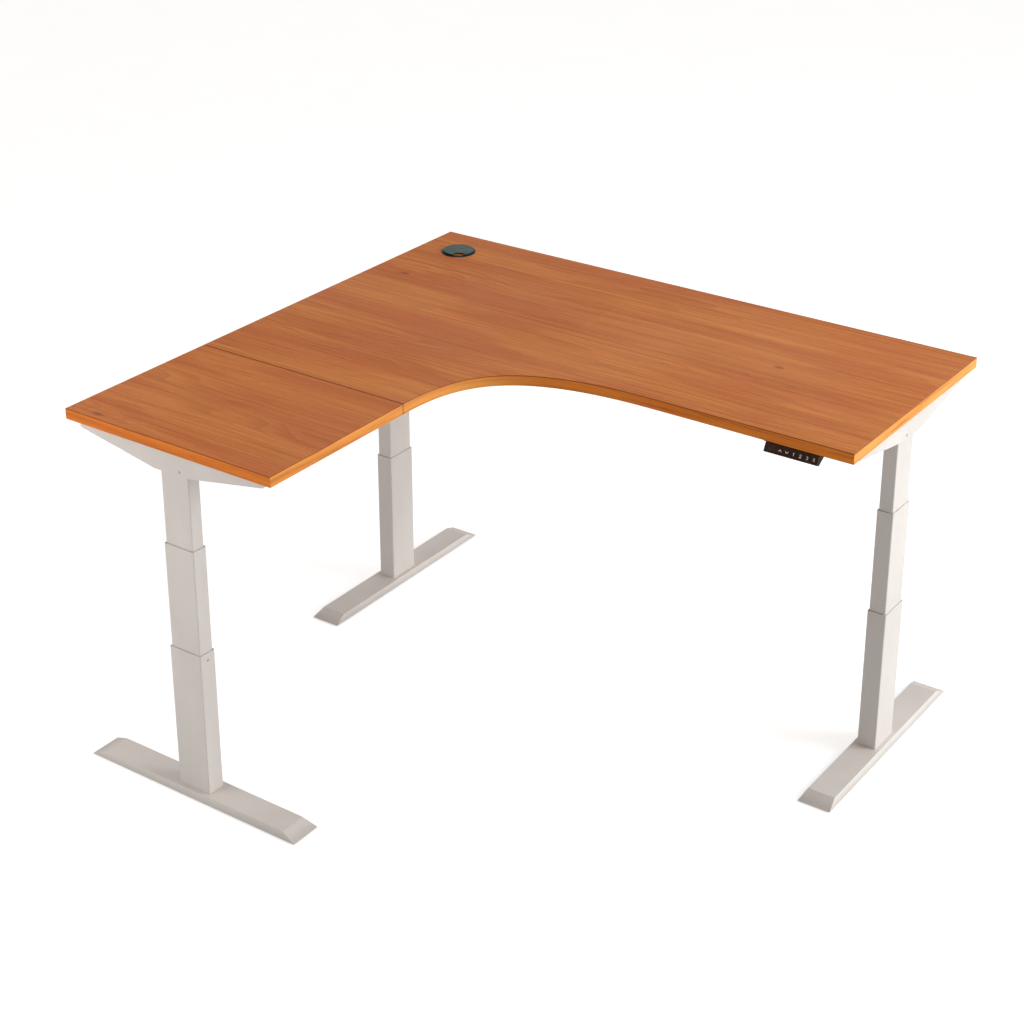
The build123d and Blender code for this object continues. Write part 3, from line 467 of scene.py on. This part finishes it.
SYMBOLS = {
    "up": [[(-0.5, -0.3), (0.0, 0.35), (0.5, -0.3)]],
    "down": [[(-0.5, 0.3), (0.0, -0.35), (0.5, 0.3)]],
    "preset_1": [[(-0.22, 0.32), (0.05, 0.5), (0.05, -0.5)]],
    "preset_2": [arc(0.0, 0.2, 0.3, 160, -35) + [(-0.32, -0.5), (0.34, -0.5)]],
    "preset_3": [arc(0.0, 0.24, 0.26, 150, -90), arc(0.0, -0.23, 0.28, 90, -150)],
    "save": [arc(0.0, 0.24, 0.26, 35, 270), arc(0.0, -0.25, 0.26, 90, -145)],
}
SYMBOL_HEIGHT = 0.0066
STROKE_WIDTH = 0.00155
PRINT_SINK = -0.0001
PRINT_HEIGHT = 0.00012
FACE_DEPTH = 0.0095
FACE_RISE = 0.0185
LEVEL_TOLERANCE = 1e-5

face_low, face_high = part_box("handset_face")
face_lean = math.atan2(FACE_DEPTH, FACE_RISE)
FACE_NORMAL = Vector((0, -math.cos(face_lean), math.sin(face_lean)))
FACE_UP = Vector((0, math.sin(face_lean), math.cos(face_lean)))
ACROSS = Vector((1, 0, 0))

for key, strokes in SYMBOLS.items():
    button = "button_" + key
    spots = [v.co for v in nodes[button].data.vertices]
    level = max(FACE_NORMAL.dot(spot) for spot in spots)
    centre = middle([spot for spot in spots if FACE_NORMAL.dot(spot) > level - LEVEL_TOLERANCE])
    place = (centre, ACROSS, FACE_UP, FACE_NORMAL)
    mesh = bmesh.new()
    for line in strokes:
        points = [(u * SYMBOL_HEIGHT, v * SYMBOL_HEIGHT) for u, v in line]
        stroke(mesh, points, STROKE_WIDTH, place, PRINT_SINK, PRINT_HEIGHT)
    add_piece(button + "_print", mesh, symbol_finish, button)

# Dark window of the display, its front just below the level of the face.
WINDOW_OFFSET = 0.047
WINDOW_HALF = (0.0109, 0.0049)
WINDOW_CORNER = 0.0009
WINDOW_LOW = -0.00045
WINDOW_HIGH = -0.0001

window_centre = (face_low + face_high) / 2 - ACROSS * WINDOW_OFFSET
window_level = max(FACE_NORMAL.dot(v.co) for v in nodes["handset_face"].data.vertices)
window_centre += FACE_NORMAL * (window_level - FACE_NORMAL.dot(window_centre))
window_place = (window_centre, ACROSS, FACE_UP, FACE_NORMAL)
corners = []
for sign_u, sign_v, turn in ((1, 1, 0), (-1, 1, 90), (-1, -1, 180), (1, -1, 270)):
    corner_u, corner_v = sign_u * WINDOW_HALF[0], sign_v * WINDOW_HALF[1]
    corners += arc(corner_u, corner_v, WINDOW_CORNER, turn, turn + 90, 5)
mesh = bmesh.new()
add_prism(mesh, corners, window_place, WINDOW_LOW, WINDOW_HIGH)
add_piece("display_window", mesh, window_finish, "desktop")

# Guide screw with a round recess near the top of each outer tube.
UP = Vector((0, 0, 1))
SCREW_SIDES = 24
SCREW_RADIUS = 0.0032
SCREW_HEAD = 0.0006
SCREW_CHAMFER = 0.0002
SCREW_SINK = 0.0002
RECESS_RADIUS = 0.0017
RECESS_FLOOR = -0.0010
SCREW_DROP = 0.018
SCREW_RINGS = [
    (SCREW_RADIUS, 0.0),
    (SCREW_RADIUS, SCREW_HEAD - SCREW_CHAMFER),
    (SCREW_RADIUS - SCREW_CHAMFER, SCREW_HEAD),
    (RECESS_RADIUS, SCREW_HEAD),
    (RECESS_RADIUS, RECESS_FLOOR),
]
SCREW_SIDE = {"left": Vector((1, 0, 0)), "corner": Vector((0, 1, 0)), "right": Vector((0, 1, 0))}


def add_ring(mesh, centre, outward, radius, depth):
    """Ring of vertices round the outward direction, depth along it from the centre."""
    sideways = Vector((-outward.y, outward.x, 0))
    turns = [2 * math.pi * i / SCREW_SIDES for i in range(SCREW_SIDES)]
    return [
        mesh.verts.new(centre + (sideways * math.cos(t) + UP * math.sin(t)) * radius + outward * depth)
        for t in turns
    ]


for leg, outward in SCREW_SIDE.items():
    low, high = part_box(leg + "_outer_tube")
    reach = abs(outward.dot(high - low)) / 2
    centre = (low + high) / 2 + outward * (reach - SCREW_SINK)
    centre.z = high.z - SCREW_DROP
    mesh = bmesh.new()
    rings = [add_ring(mesh, centre, outward, radius, depth) for radius, depth in SCREW_RINGS]
    for inner, outer in zip(rings[1:], rings):
        for i in range(SCREW_SIDES):
            j = (i + 1) % SCREW_SIDES
            mesh.faces.new((outer[i], outer[j], inner[j], inner[i]))
    mesh.faces.new(rings[-1])
    add_piece(leg + "_guide_screw", mesh, finishes["screw_steel"], leg + "_leg_base")


# ---------------------------------------------------------------- floor, light and camera

FLOOR_HALF = 40.0


def pale_floor():
    """Pale matt floor with a glow that only the camera sees."""
    s = Surface("pale_floor", (0.86, 0.86, 0.86))
    cloud = s.noise(s.place, 3.0, 4.0, 0.6)
    colour = s.mix(s.step(cloud, 0.3, 0.7), (0.80, 0.80, 0.80), (0.78, 0.78, 0.78))
    seen = s.tree.nodes.new("ShaderNodeLightPath").outputs["Is Camera Ray"]
    return s.finish(
        Base_Color=colour,
        Roughness=0.85,
        Specular_IOR_Level=0.1,
        Emission_Color=(1.0, 1.0, 1.0),
        Emission_Strength=s.calc("MULTIPLY", seen, 0.58),
    )


def add_floor():
    mesh = bmesh.new()
    bmesh.ops.create_grid(mesh, x_segments=8, y_segments=8, size=FLOOR_HALF)
    data = bpy.data.meshes.new("floor")
    mesh.to_mesh(data)
    mesh.free()
    data.materials.append(pale_floor())
    floor = bpy.data.objects.new("floor", data)
    bpy.context.scene.collection.objects.link(floor)


def add_softbox(name, position, target, size, power, colour):
    data = bpy.data.lights.new(name, "AREA")
    data.shape = "DISK"
    data.size = size
    data.energy = power
    data.color = colour
    light = bpy.data.objects.new(name, data)
    light.location = position
    light.rotation_euler = (Vector(target) - Vector(position)).to_track_quat("-Z", "Y").to_euler()
    bpy.context.scene.collection.objects.link(light)


add_floor()
add_softbox("key", (4.3, 1.9, 2.1), (0.0, 0.1, 0.45), 3.0, 156.0, (0.97, 0.985, 1.0))
add_softbox("fill", (-1.3, -2.1, 1.1), (-0.5, -0.6, 0.4), 1.2, 17.0, (1.0, 0.975, 0.95))


def studio_light():
    """Soft light from all round, strongest from the back, then the right, and weakest from the front."""
    world = bpy.data.worlds.new("studio")
    world.use_nodes = True
    tree = world.node_tree
    background = tree.nodes["Background"]
    coordinates = tree.nodes.new("ShaderNodeTexCoord")
    lean = tree.nodes.new("ShaderNodeVectorMath")
    lean.operation = "DOT_PRODUCT"
    lean.inputs[1].default_value = (0.13, 0.45, -0.06)
    level = tree.nodes.new("ShaderNodeMath")
    level.operation = "ADD"
    level.inputs[1].default_value = 0.53
    tree.links.new(coordinates.outputs["Generated"], lean.inputs[0])
    tree.links.new(lean.outputs["Value"], level.inputs[0])
    tree.links.new(level.outputs[0], background.inputs["Strength"])
    background.inputs["Color"].default_value = (1.0, 0.98, 0.96, 1)
    return world


bpy.context.scene.world = studio_light()
bpy.context.scene.view_settings.view_transform = "Standard"

camera_data = bpy.data.cameras.new("camera")
camera_data.sensor_width = 36.0
camera_data.lens = 72.42
camera_data.shift_y = -0.1484
camera_data.clip_end = 100.0
camera = bpy.data.objects.new("camera", camera_data)
camera.location = (2.4154, -3.5190, 2.7744)
camera.rotation_euler = (math.radians(90 - 23.065), 0.0, math.radians(35.051))
bpy.context.scene.collection.objects.link(camera)
bpy.context.scene.camera = camera
